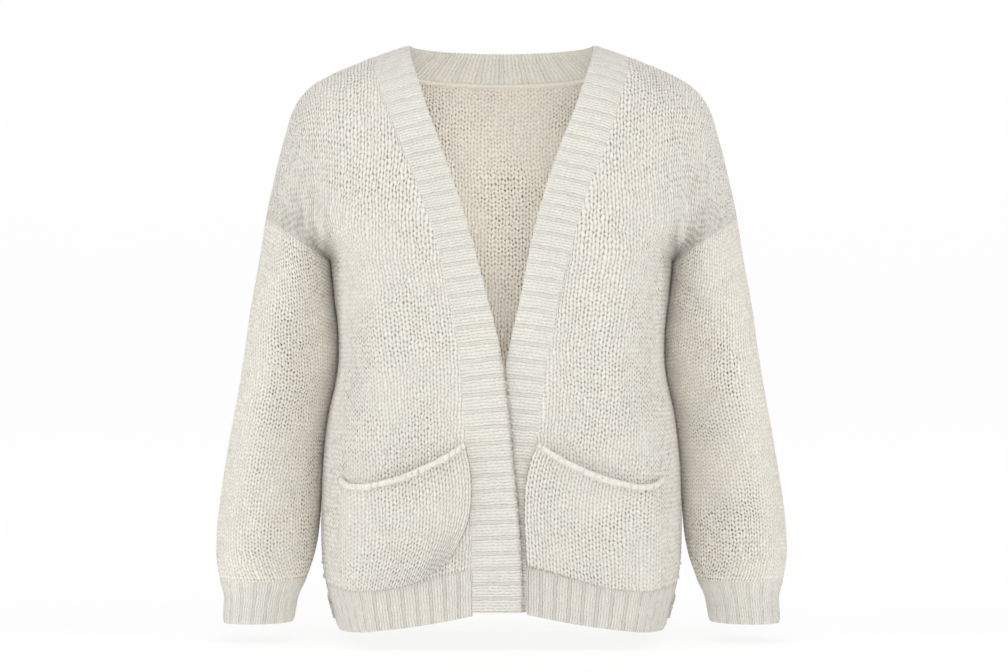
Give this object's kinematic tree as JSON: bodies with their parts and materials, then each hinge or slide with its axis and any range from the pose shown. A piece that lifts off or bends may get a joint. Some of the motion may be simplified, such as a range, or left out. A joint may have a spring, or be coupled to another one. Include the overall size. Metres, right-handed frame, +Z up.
{
  "type": "open-front knit cardigan",
  "caption": "Hollow open-front knit cardigan with a ribbed front band, patch pockets with rolled mouths and drop-shoulder balloon sleeves.",
  "frame": {"origin": "midway between the two neck points, where the wearer's shoulders hold the garment", "axes": "+Z up along the wearer's body, -Y out of the garment's front, +X towards the wearer's left sleeve"},
  "size_m": [0.6108, 0.2681, 0.6293],
  "materials": {
    "body_knit": "soft brushed knit",
    "rib_knit": "soft ribbed knit",
    "neck_tape": "plain rolled knit tape"
  },
  "bodies": {
    "root": {"back": "body_knit", "front_left": "body_knit", "front_right": "body_knit", "band_left": "rib_knit", "band_right": "rib_knit", "band_neck": "rib_knit", "sleeve_left": "body_knit", "sleeve_right": "body_knit", "cuff_left": "rib_knit", "cuff_right": "rib_knit", "hem_back": "rib_knit", "hem_front_left": "rib_knit", "hem_front_right": "rib_knit", "pocket_left": "body_knit", "pocket_right": "body_knit", "neck_tape": "neck_tape"}
  },
  "joints": []
}
